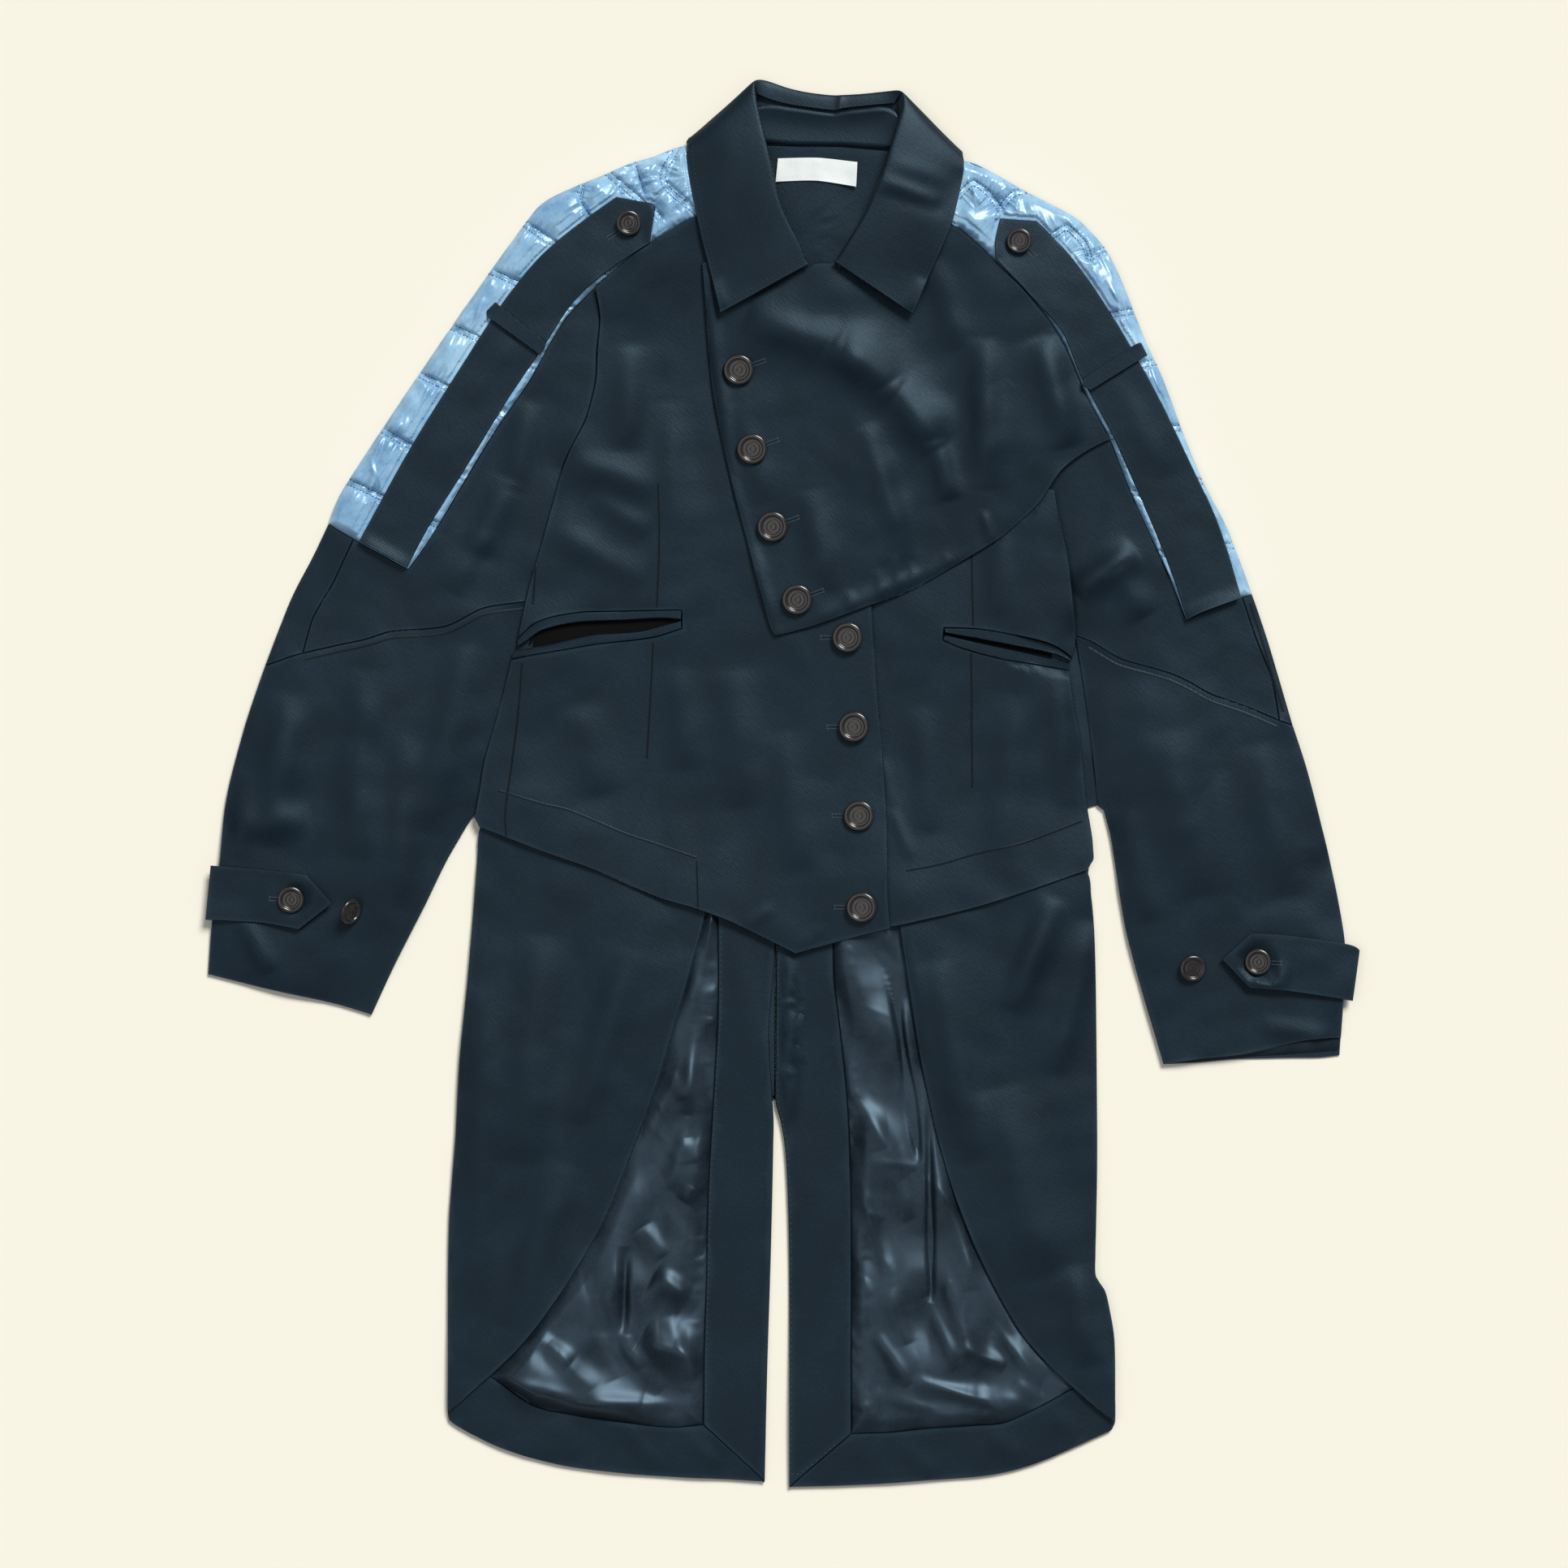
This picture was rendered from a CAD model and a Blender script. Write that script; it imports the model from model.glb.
"""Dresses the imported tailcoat: cloth, quilting, linings, stitching and buttons, lying on a pale floor.

The sections follow the coat as it is put together, from the panels that lie on the table to the buttons.
Places are in millimetres, seen from above, until a mesh is made.
"""
import math

import bpy
import numpy as np
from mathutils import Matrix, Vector, noise
from mathutils.bvhtree import BVHTree


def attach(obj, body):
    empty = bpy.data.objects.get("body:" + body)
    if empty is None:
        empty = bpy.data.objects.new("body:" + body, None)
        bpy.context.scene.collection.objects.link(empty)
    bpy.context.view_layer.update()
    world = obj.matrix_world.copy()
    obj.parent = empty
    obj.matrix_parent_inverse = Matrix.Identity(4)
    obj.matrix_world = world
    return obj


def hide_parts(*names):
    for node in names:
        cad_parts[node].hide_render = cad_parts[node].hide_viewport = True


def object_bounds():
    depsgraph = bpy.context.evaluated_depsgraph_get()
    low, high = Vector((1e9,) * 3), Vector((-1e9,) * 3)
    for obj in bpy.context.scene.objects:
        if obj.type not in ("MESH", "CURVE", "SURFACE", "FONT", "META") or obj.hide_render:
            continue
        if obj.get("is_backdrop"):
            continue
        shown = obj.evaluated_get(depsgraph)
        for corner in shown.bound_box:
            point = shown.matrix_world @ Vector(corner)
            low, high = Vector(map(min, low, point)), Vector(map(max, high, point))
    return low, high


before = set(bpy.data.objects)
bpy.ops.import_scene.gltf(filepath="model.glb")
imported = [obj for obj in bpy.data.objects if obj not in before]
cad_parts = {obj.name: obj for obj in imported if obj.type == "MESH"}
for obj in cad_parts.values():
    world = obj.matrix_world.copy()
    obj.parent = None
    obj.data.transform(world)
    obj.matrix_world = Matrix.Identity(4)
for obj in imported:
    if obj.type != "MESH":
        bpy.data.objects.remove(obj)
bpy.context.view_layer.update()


# Back and under-sleeves
# Two halves of a dark cotton twill back, sewn down the middle to the top of the vent, and the under
# halves of the sleeves. They lie flat on the table and carry everything else.

MM = 0.001
SIDES = ("left", "right")
TWILL_THICKNESS = 1.5
WELD = 6
UPRIGHT = 0.02
LEAST_RISE = 0.3
BENT_THICKNESS = 2.3
CORNER = math.cos(math.radians(32))
TURNED_EDGE = 0.6
LEAST_WALL = 0.6
CLEARANCE = 0.15
FAR = 1e6
LEAST_LENGTH = 1e-12
# a wave texture repeats every pi / 10 units at a scale of 1
WAVE_PERIOD = math.pi / 10
# steps from a place at which it may be covered, and how far it may bulge if it is covered only there
BESIDE_COVER = ((0, 0, 0), (4, 0, 0.6), (-4, 0, 0.6), (0, 4, 0.6), (0, -4, 0.6),
                (7, 7, 3), (-7, 7, 3), (-7, -7, 3), (7, -7, 3))
HIGHEST = 60.0


def linear(colour):
    """An sRGB hex colour as the linear values that a shader takes."""
    parts = [int(colour[k:k + 2], 16) / 255 for k in (1, 3, 5)]
    return (*(p / 12.92 if p <= 0.04045 else ((p + 0.055) / 1.055) ** 2.4 for p in parts), 1.0)


def add(tree, kind, inputs, **settings):
    """Adds a shader node with its settings. An input is a plain value or another node's output."""
    made = tree.nodes.new("ShaderNode" + kind)
    for name, value in settings.items():
        setattr(made, name, value)
    for name, value in inputs.items():
        if isinstance(value, bpy.types.NodeSocket):
            tree.links.new(value, made.inputs[name])
        else:
            made.inputs[name].default_value = value
    return made


def new_finish(name):
    """An empty material, its node tree and its shader."""
    made = bpy.data.materials.new(name)
    made.use_nodes = True
    return made, made.node_tree, made.node_tree.nodes["Principled BSDF"]


def plain(shader, values):
    """Sets plain values of a shader: numbers, or colours in sRGB hex."""
    for name, value in values.items():
        shader.inputs[name].default_value = linear(value) if isinstance(value, str) else value


def woven(name, deep, pale, rib, turn, roughness, specular, tint="#FFFFFF", bump=0.25, patch=55.0,
          worn=None):
    """A woven cloth: faint ribs, a grain of uneven yarns and slow patches of colour.

    rib and patch are sizes in millimetres, and turn is the angle of the ribs in degrees. worn is the
    colour that shows on turned edges."""
    made, tree, shader = new_finish(name)
    place = add(tree, "TexCoord", {}).outputs["Object"]
    across = add(tree, "Mapping", {"Vector": place, "Rotation": (0.0, 0.0, math.radians(turn))})
    ribs = add(tree, "TexWave", {"Vector": across.outputs["Vector"], "Scale": WAVE_PERIOD / (rib * MM),
                                 "Distortion": 2.0, "Detail": 2.0, "Detail Scale": 1.5})
    yarn = add(tree, "Mapping", {"Vector": across.outputs["Vector"], "Scale": (1.0, 0.4, 1.0)})
    yarns = add(tree, "TexNoise", {"Vector": yarn.outputs["Vector"], "Scale": 0.8 / (rib * MM),
                                   "Detail": 3.0, "Roughness": 0.6})
    patches = add(tree, "TexNoise", {"Vector": place, "Scale": 1 / (patch * MM), "Detail": 5.0,
                                     "Roughness": 0.55})
    mixed = add(tree, "Math", {0: yarns.outputs["Fac"], 1: 0.35, 2: patches.outputs["Fac"]},
                operation="MULTIPLY_ADD")
    share = add(tree, "MapRange", {"Value": mixed.outputs[0], "From Min": 0.48, "From Max": 0.87})
    colour = add(tree, "Mix", {"Factor": share.outputs[0], 6: linear(deep), 7: linear(pale)},
                 data_type="RGBA").outputs[2]
    if worn:
        edge = add(tree, "Attribute", {}, attribute_name="turned_edge")
        rubbed = add(tree, "Math", {0: edge.outputs["Fac"], 1: patches.outputs["Fac"]},
                     operation="MULTIPLY")
        colour = add(tree, "Mix", {"Factor": rubbed.outputs[0], 6: colour, 7: linear(worn)},
                     data_type="RGBA").outputs[2]
    height = add(tree, "Math", {0: ribs.outputs["Fac"], 1: 0.4, 2: yarns.outputs["Fac"]},
                 operation="MULTIPLY_ADD")
    relief = add(tree, "Bump", {"Height": height.outputs[0], "Strength": bump, "Distance": rib * MM * 0.4})
    tree.links.new(colour, shader.inputs["Base Color"])
    tree.links.new(relief.outputs["Normal"], shader.inputs["Normal"])
    plain(shader, {"Roughness": roughness, "Specular IOR Level": specular, "Specular Tint": tint})
    return made


def surface_of(node, bent):
    """The upper side of a packed wall of cloth, as corners in millimetres and triangles.

    The wall's edge faces have an edge from its lower to its upper side. It stands upright in a flat
    piece, and is the only one of its length in a bent one."""
    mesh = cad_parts[node].data
    places = np.empty(len(mesh.vertices) * 3)
    mesh.vertices.foreach_get("co", places)
    corners, number = np.unique(np.round(places.reshape(-1, 3), WELD), axis=0, return_inverse=True)
    corners = corners / MM
    faces = number.reshape(-1)[np.array([face.vertices[:] for face in mesh.polygons])]
    steps = corners[faces] - corners[np.roll(faces, -1, axis=1)]
    if bent:
        risers = np.linalg.norm(steps, axis=2) < BENT_THICKNESS
    else:
        risers = (np.linalg.norm(steps[:, :, :2], axis=2) < UPRIGHT) & (np.abs(steps[:, :, 2]) > LEAST_RISE)
    faces = faces[~risers.any(axis=1)]
    side = np.arange(len(corners))
    settled = False
    while not settled:
        lowest = side[faces].min(axis=1)
        before = side.copy()
        for corner in faces.T:
            np.minimum.at(side, corner, lowest)
        settled = (before == side).all()
    sides = np.unique(side[faces[:, 0]])
    upper = max(sides, key=lambda one: corners[side == one, 2].mean())
    used, chosen = np.unique(faces[side[faces[:, 0]] == upper], return_inverse=True)
    return corners[used], chosen.reshape(-1, 3)


def rim_of(triangles, count):
    """For each corner on the rim, the next one along it. The others have -1."""
    sides = np.concatenate((triangles[:, [0, 1]], triangles[:, [1, 2]], triangles[:, [2, 0]]))
    _, which, times = np.unique(np.sort(sides, axis=1), axis=0, return_inverse=True, return_counts=True)
    after = np.full(count, -1)
    lone = sides[times[which.reshape(-1)] == 1]
    after[lone[:, 0]] = lone[:, 1]
    return after


def finer(points, triangles):
    """Each triangle becomes four, with the usual weights of a smooth subdivision. Inside, the points
    settle, and the rim keeps its corners."""
    sides = np.concatenate((triangles[:, [0, 1]], triangles[:, [1, 2]], triangles[:, [2, 0]]))
    edges, which = np.unique(np.sort(sides, axis=1), axis=0, return_inverse=True)
    which = which.reshape(-1)
    opposite = np.concatenate((triangles[:, 2], triangles[:, 0], triangles[:, 1]))
    across = np.zeros((len(edges), 3))
    np.add.at(across, which, points[opposite])
    ends = points[edges[:, 0]] + points[edges[:, 1]]
    middles = 0.375 * ends + 0.125 * across
    after = rim_of(triangles, len(points))
    before = np.full(len(points), -1)
    on_rim = after >= 0
    before[after[on_rim]] = np.nonzero(on_rim)[0]
    turns = np.zeros(len(points), dtype=bool)
    here = np.nonzero(on_rim)[0]
    arriving = points[here] - points[before[here]]
    leaving = points[after[here]] - points[here]
    length = np.linalg.norm(arriving, axis=1) * np.linalg.norm(leaving, axis=1)
    turns[here] = (arriving * leaving).sum(axis=1) < CORNER * length
    lone = np.nonzero(after[sides[:, 0]] == sides[:, 1])[0]
    start, end = sides[lone].T
    ahead = np.where(turns[end][:, None], 2 * points[end] - points[start], points[after[end]])
    behind = np.where(turns[start][:, None], 2 * points[start] - points[end], points[before[start]])
    middles[which[lone]] = (9 * (points[start] + points[end]) - ahead - behind) / 16
    neighbours = np.zeros_like(points)
    number = np.zeros(len(points))
    for one, other in (edges.T, edges.T[::-1]):
        np.add.at(neighbours, one, points[other])
        np.add.at(number, one, 1)
    weight = np.where(number == 3, 3 / 16, 3 / (8 * np.maximum(number, 1)))[:, None]
    settled = (1 - number[:, None] * weight) * points + weight * neighbours
    settled[on_rim] = points[on_rim]
    half = which.reshape(3, -1).T + len(points)
    a, b, c = triangles.T
    ab, bc, ca = half.T
    split = np.concatenate((np.stack((a, ab, ca), 1), np.stack((ab, b, bc), 1),
                            np.stack((ca, bc, c), 1), np.stack((ab, bc, ca), 1)))
    return np.concatenate((settled, middles)), split


def facings(points, triangles):
    """The direction that each triangle faces, twice as long as its area is large."""
    first, second, third = (points[corner] for corner in triangles.T)
    return np.cross(second - first, third - first)


def normals_of(points, triangles):
    """The direction that each point of a surface faces."""
    facing = facings(points, triangles)
    total = np.zeros_like(points)
    for corner in triangles.T:
        np.add.at(total, corner, facing)
    return total / np.maximum(np.linalg.norm(total, axis=1, keepdims=True), LEAST_LENGTH)


def new_mesh(name, points, faces, *finishes):
    """A smooth mesh from places in millimetres."""
    mesh = bpy.data.meshes.new(name)
    mesh.from_pydata((np.asarray(points) * MM).tolist(), [], [tuple(int(k) for k in f) for f in faces])
    for finish in finishes:
        mesh.materials.append(finish)
    mesh.shade_smooth()
    made = bpy.data.objects.new(name, mesh)
    bpy.context.scene.collection.objects.link(made)
    return made


def to_line(points, line):
    """For each point: its distance to a line, how far along the line that is, and on which side."""
    nearest, along, side = np.full(len(points), FAR), np.zeros(len(points)), np.ones(len(points))
    walked = 0.0
    for start, end in zip(line, line[1:]):
        offset = points[:, :2] - np.array(start)
        way = np.array(end, dtype=float) - np.array(start)
        length = np.linalg.norm(way)
        share = np.clip(offset @ way / length ** 2, 0.0, 1.0)
        away = np.linalg.norm(offset - share[:, None] * way, axis=1)
        nearer = away < nearest
        nearest[nearer] = away[nearer]
        along[nearer] = walked + share[nearer] * length
        side[nearer] = np.where(way[0] * offset[nearer, 1] > way[1] * offset[nearer, 0], 1.0, -1.0)
        walked += length
    return nearest, along, side


grounds = {}
rims = {}


def edge_of(node):
    """The edge of a packed surface, as pairs of places."""
    points, triangles = surface_of(node, bent=False)
    after = rim_of(triangles, len(points))
    return [(points[k, :2], points[after[k], :2]) for k in np.nonzero(after >= 0)[0]]


def room_above(points, node, beside):
    """How far each point of a packed surface may rise before it meets what lies over it or beside it."""
    corners, faces = [], []
    for name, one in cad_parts.items():
        if name != node:
            faces += [tuple(k + len(corners) for k in face.vertices) for face in one.data.polygons]
            corners += [tuple(v.co / MM) for v in one.data.vertices]
    others = BVHTree.FromPolygons(corners, faces)
    room = np.full(len(points), HIGHEST)
    for k, (x, y, z) in enumerate(points):
        for dx, dy, bulge in beside:
            hit = others.ray_cast(Vector((x + dx, y + dy, z + CLEARANCE)), Vector((0, 0, 1)))[0]
            if hit:
                room[k] = min(room[k], max(0.0, hit.z - z - CLEARANCE + bulge))
    return room


def cloth(name, node, finish, levels=3, thickness=TWILL_THICKNESS, relief=None, lift=None,
          along=False, rests_on=(), slack=None, pressed_by=()):
    """A piece of cloth that stands for a packed wall: its upper side made finer, given its folds and
    turned down crisply over its edges. Its underside is half as fine. relief raises the upper side
    alone, and lift the whole sheet, as far as the cloth above leaves room. slack is how far from its
    edge, and from the edges of what presses on it, a sheet is free to lift."""
    points, triangles = surface_of(node, bent=along)
    coarse = None
    for level in range(levels):
        if level == levels - 1:
            coarse = triangles, len(points)
        points, triangles = finer(points, triangles)
    free = np.ones(len(points))
    if slack:
        held_down = [pair for one in (node, *pressed_by) for pair in edge_of(one)]
        free = np.min([to_line(points, pair)[0] for pair in held_down], axis=0) / slack
        free = np.sin(np.clip(free, 0.0, 1.0) * math.pi / 2)
    raised = np.maximum(lift(points), 0.0) * free if lift else np.zeros(len(points))
    shaped = np.maximum(relief(points), LEAST_WALL - thickness) if relief else np.zeros(len(points))
    if (lift or relief) and not along:
        room = room_above(points, node, BESIDE_COVER[:1] if slack else BESIDE_COVER)
        raised = np.minimum(raised, room)
        shaped = np.minimum(shaped, room - raised)
    points[:, 2] += raised
    upward = normals_of(points, triangles) if along else np.tile((0.0, 0.0, 1.0), (len(points), 1))
    under = (points - upward * thickness)[:coarse[1]]
    points += upward * shaped[:, None]
    after = rim_of(triangles, len(points))
    rim = np.nonzero(after >= 0)[0]
    before = np.full(len(points), -1)
    before[after[rim]] = rim
    inward = np.cross(upward[rim], points[after[rim]] - points[before[rim]])
    turned = min(TURNED_EDGE, thickness / 2)
    outer = points[rim] - upward[rim] * turned
    points[rim] += inward / np.linalg.norm(inward, axis=1, keepdims=True) * turned
    outside = np.full(len(points), -1)
    outside[rim] = len(points) + np.arange(len(rim))
    below = len(points) + len(rim)
    faces = [tuple(t) for t in triangles]
    faces += [(after[k], k, outside[k], outside[after[k]]) for k in rim]
    faces += [tuple(k + below for k in t[::-1]) for t in coarse[0]]
    coarse_after = rim_of(*coarse)
    for start in np.nonzero(coarse_after >= 0)[0]:
        chain = [start]
        while chain[-1] != coarse_after[start]:
            chain.append(after[chain[-1]])
        half = len(chain) // 2
        for k, (here, there) in enumerate(zip(chain, chain[1:])):
            low = start if k < half else coarse_after[start]
            faces.append((outside[there], outside[here], low + below))
        faces.append((outside[chain[half]], start + below, coarse_after[start] + below))
    made = new_mesh(name, np.concatenate((points, outer, under)), faces, finish)
    mark_edges(made.data, after, below)
    grounds[name] = BVHTree.FromPolygons(points.tolist(), triangles.tolist())
    loop = [rim[0]]
    while after[loop[-1]] != rim[0]:
        loop.append(after[loop[-1]])
    rims[name] = points[loop]
    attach(made, "root")
    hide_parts(node)
    if not rests_on:
        return made
    return made


def mark_edges(mesh, after, below):
    """The turned edge of a piece is creased, and an attribute tells the cloth where it is rubbed."""
    ends = np.empty(len(mesh.edges) * 2, dtype=int)
    mesh.edges.foreach_get("vertices", ends)
    one, other = ends.reshape(-1, 2).T
    onto = np.full(len(mesh.vertices), -1)
    onto[:len(after)] = after
    creased = ((onto[one] == other) | (onto[other] == one)) & (one != other)
    mesh.attributes.new("sharp_edge", "BOOLEAN", "EDGE").data.foreach_set("value", creased)
    rubbed = np.zeros(len(mesh.vertices))
    rubbed[:len(after)] = after >= 0
    rubbed[len(after):below] = 1.0
    mesh.attributes.new("turned_edge", "FLOAT", "POINT").data.foreach_set("value", rubbed)


# Dense cotton twill: nearly dull, with a low cool sheen along its folds and paler rubbed edges. Its ribs,
# and the yarns of the other cloths, are drawn about three times as coarse as real ones, so that they show.
twill = woven("cotton_twill", "#050F18", "#0C1A25", rib=1.6, turn=-40, roughness=0.47, specular=0.42,
              tint="#B9DEFA", worn="#1E2E3A")
for side in SIDES:
    cloth(f"back_panel_{side}", f"back_{side}", twill, levels=2, rests_on=["table"])
    cloth(f"under_sleeve_{side}", f"sleeve_under_{side}", twill, levels=2, rests_on=["table"])


# Facings of the vent, the hem and the neck
# Wide strips of the same twill, turned in and mitred at the corners of the tails. The neck facing is the
# smooth twill inside the collar that carries the label.

def ridges(*rows):
    """Soft ridges, or hollows if the height is below nothing: start x, y, end x, y, half width, height.
    They fade out toward both ends."""
    def rise(points):
        total = np.zeros(len(points))
        for x0, y0, x1, y1, width, height in rows:
            length = math.dist((x0, y0), (x1, y1))
            away, along, _ = to_line(points, ((x0, y0), (x1, y1)))
            total += height * np.exp(-(away / width) ** 2) * (1 - np.abs(2 * along / length - 1) ** 3)
        return total
    return rise


def together(*reliefs):
    """Several reliefs added up."""
    return lambda points: sum(relief(points) for relief in reliefs)


def ripple(size, height, seed=0.0, stretch=(1.0, 1.0)):
    """Uneven softness of cloth that lies loose: a size in millimetres and a height."""
    def rise(points):
        return np.array([height * noise.noise(Vector((x / size * stretch[0], y / size * stretch[1], seed)))
                         for x, y in points[:, :2]])
    return rise


def swell(size, height, seed, stretch=(1.0, 1.0)):
    """Slack that lifts a loose sheet everywhere, more in some places than in others."""
    rise = ripple(size, height, seed, stretch)
    return lambda points: rise(points) + height / 2


# Sewing: how wide a seam's two sides are and how deep its ditch lies between them, and one stitch
SEAM_SIDES = ((-2, -0.35), (-0.4, 0.28), (0, 0), (0.4, 0.2), (1.8, -0.35))
SEAM_DITCH = (1, 2)
SEAM_STEP = 3.0
# a line beside an edge keeps the places that are this clear of every edge, and one in a few of them
CLEAR_SHARE = 0.96
EACH_KEPT = 3


def height_on(place, names):
    """How high the topmost of some pieces lies at a place."""
    above = Vector((place[0], place[1], HIGHEST))
    hits = [grounds[name].ray_cast(above, Vector((0, 0, -1)))[0] for name in names]
    return max((hit.z for hit in hits if hit), default=None)


def evenly(line, step):
    """Places a step apart along a smooth line through the given points."""
    given = [np.array(p[:2], dtype=float) for p in line]
    padded = [2 * given[0] - given[1]] + given + [2 * given[-1] - given[-2]]
    smooth = [given[0]]
    for before, start, end, after in zip(padded, padded[1:], padded[2:], padded[3:]):
        for t in np.linspace(0, 1, 2 + int(np.linalg.norm(end - start) / step))[1:]:
            smooth.append(0.5 * (2 * start + (end - before) * t
                                 + (2 * before - 5 * start + 4 * end - after) * t ** 2
                                 + (3 * start - before - 3 * end + after) * t ** 3))
    smooth = np.array(smooth)
    walked = np.concatenate(([0.0], np.linalg.norm(np.diff(smooth, axis=0), axis=1).cumsum()))
    stops = np.linspace(0, walked[-1], max(2, round(walked[-1] / step) + 1))
    return np.stack([np.interp(stops, walked, smooth[:, axis]) for axis in (0, 1)], axis=1)


def crosswise(way):
    """The direction to the left of each step of a line."""
    return np.stack((-way[:, 1], way[:, 0]), axis=1) / np.linalg.norm(way, axis=1, keepdims=True)


def beside_edge(name, start, end, distance):
    """A line inside the edge of a piece, counter-clockwise from near one place to near another."""
    rim = rims[name][:, :2]
    first = np.linalg.norm(rim - start, axis=1).argmin()
    last = np.linalg.norm(rim - end, axis=1).argmin()
    order = (first + np.arange((last - first) % len(rim) + 1)) % len(rim)
    inward = crosswise(np.roll(rim, -1, axis=0) - np.roll(rim, 1, axis=0))
    line = (rim + inward * distance)[order]
    clear = to_line(line, np.concatenate((rim, rim[:1])))[0] > distance * CLEAR_SHARE
    return line[clear][::EACH_KEPT]


def along_edges(*rows):
    """Lines inside the edges of pieces, and the pieces. A row is a piece, two places and how far in."""
    return [beside_edge(*row) for row in rows], [row[0] for row in rows]


def seamed(name, lines, on):
    """Seams: two soft sides with a dark ditch between them, laid along lines on some pieces."""
    points, faces, dark = [], [], []
    for line in lines:
        path = np.array([place for place in evenly(line, SEAM_STEP) if height_on(place, on)])
        across = crosswise(np.gradient(path, axis=0))
        sides = len(SEAM_SIDES)
        first = len(points)
        for place, beside in zip(path, across):
            for offset, rise in SEAM_SIDES:
                spot = place + beside * offset
                points.append((*spot, (height_on(spot, on) or height_on(place, on)) + rise))
        for ring in range(len(path) - 1):
            for k in range(sides):
                a, b = first + ring * sides + k, first + ring * sides + (k + 1) % sides
                faces.append((a, a + sides, b + sides, b))
                dark.append(k in SEAM_DITCH)
        faces.append(tuple(first + k for k in range(sides)))
        faces.append(tuple(len(points) - 1 - k for k in range(sides)))
        dark += [False, False]
    made = new_mesh(name, points, faces, twill, ditch_thread)
    made.data.polygons.foreach_set("material_index", [int(one) for one in dark])
    made.data.set_sharp_from_angle(angle=math.radians(40))
    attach(made, "root")


def stitched(name, lines, on, finish, slot="twill", length=2.8, pitch=3.6, width=0.75, height=0.35, turn=0):
    """Rows of single stitches along lines on some pieces. turn sets each across its row, in degrees."""
    points, faces = [], []
    for line in lines:
        path = evenly(line, pitch)
        levels = [height_on(place, on) for place in path]
        for k, place in enumerate(path):
            if levels[k] is None:
                continue
            ahead, behind = min(k + 1, len(path) - 1), max(k - 1, 0)
            way = path[ahead] - path[behind]
            climb = 0.0
            if levels[ahead] is not None and levels[behind] is not None and not turn:
                climb = (levels[ahead] - levels[behind]) / np.linalg.norm(way)
            angle = math.atan2(way[1], way[0]) + math.radians(turn)
            along = np.array((math.cos(angle), math.sin(angle), climb)) * length / 2
            across = np.array((-math.sin(angle), math.cos(angle), 0.0)) * width / 2
            middle = np.array((*place, levels[k]))
            up = np.array((0.0, 0.0, height))
            first = len(points)
            points += [middle - along - up / 2, middle + along - up / 2, middle - across, middle + across,
                       middle + up, middle - up]
            for a, b in ((1, 3), (3, 0), (0, 2), (2, 1)):
                faces += [(first + a, first + b, first + 4), (first + b, first + a, first + 5)]
    made = new_mesh(name, points, faces, finish)
    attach(made, "root")


# millimetres from one turn of a thread's twist to the next
THREAD_TWIST = 2 / 3


def thread_finish(name, colour):
    """Spun polyester thread: dull, with a faint twist that only breaks up its shine."""
    made, tree, shader = new_finish(name)
    place = add(tree, "TexCoord", {}).outputs["Object"]
    twist = add(tree, "TexNoise", {"Vector": place, "Scale": 1 / (THREAD_TWIST * MM), "Detail": 1.0})
    relief = add(tree, "Bump", {"Height": twist.outputs["Fac"], "Strength": 0.2, "Distance": 0.2 * MM})
    tree.links.new(relief.outputs["Normal"], shader.inputs["Normal"])
    plain(shader, {"Base Color": colour, "Roughness": 0.6, "Specular IOR Level": 0.3})
    return made


ditch_thread = thread_finish("seam_ditch_thread", "#05080B")
dark_thread = thread_finish("dark_sewing_thread", "#141B22")
hole_thread = thread_finish("buttonhole_thread", "#43525E")
edge_thread = thread_finish("topstitching_thread", "#2C3A45")
LEFT_FACING_SEAM = ((-51, -100), (-51, -180), (-53, -219), (-59, -325), (-60, -383), (-62, -442),
                    (-62.5, -500))
RIGHT_FACING_SEAM = ((40, -100), (40, -151), (44, -185), (51, -253), (53, -302), (54, -341), (54, -455),
                     (54, -508))
VENT_RIDGES = ((-40, -110, -15, -240, 9, 0.8), (-36, -300, -30, -470, 14, 0.5),
               (26, -140, 30, -330, 12, 0.5))
# the vent's edge on the right stands up from the one on the left and shades it
VENT_LIFTS = ((5, -132, 6, -268, 5, 5),)
HEM_RIDGES = ((-130, -500, -100, -540, 7, 0.9), (-80, -510, -50, -540, 7, 0.9),
              (-180, -500, -160, -530, 8, 0.6), (90, -520, 120, -545, 8, 0.7),
              (160, -512, 190, -535, 8, 0.7), (210, -495, 235, -515, 7, 0.6))

for side in SIDES:
    cloth(f"vent_facing_piece_{side}", f"vent_facing_{side}", twill, rests_on=[f"back_{side}"],
          lift=ridges(*VENT_LIFTS),
          relief=together(ridges(*VENT_RIDGES), ripple(45, 1.8, stretch=(1, 0.4))))
    cloth(f"hem_facing_piece_{side}", f"hem_facing_{side}", twill, rests_on=[f"back_{side}"],
          relief=together(ridges(*HEM_RIDGES), ripple(30, 0.7, 3.0)))
cloth("neck_facing_piece", "neck_facing", twill, rests_on=["back_left", "back_right"],
      relief=together(ridges((34, 472, 31, 404, 6, 1.3), (52, 462, 40, 425, 6, 0.8)), ripple(26, 0.6, 4.0)))
stitched("vent_topstitch", *along_edges(("vent_facing_piece_left", (-14, -549), (-9, -262), 5.5)),
         dark_thread)


# Satin linings of the tails
# A dark satin, cut full, gathered a little onto the facings and bagged out over the hem, so it lies in
# loose shining folds.

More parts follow.
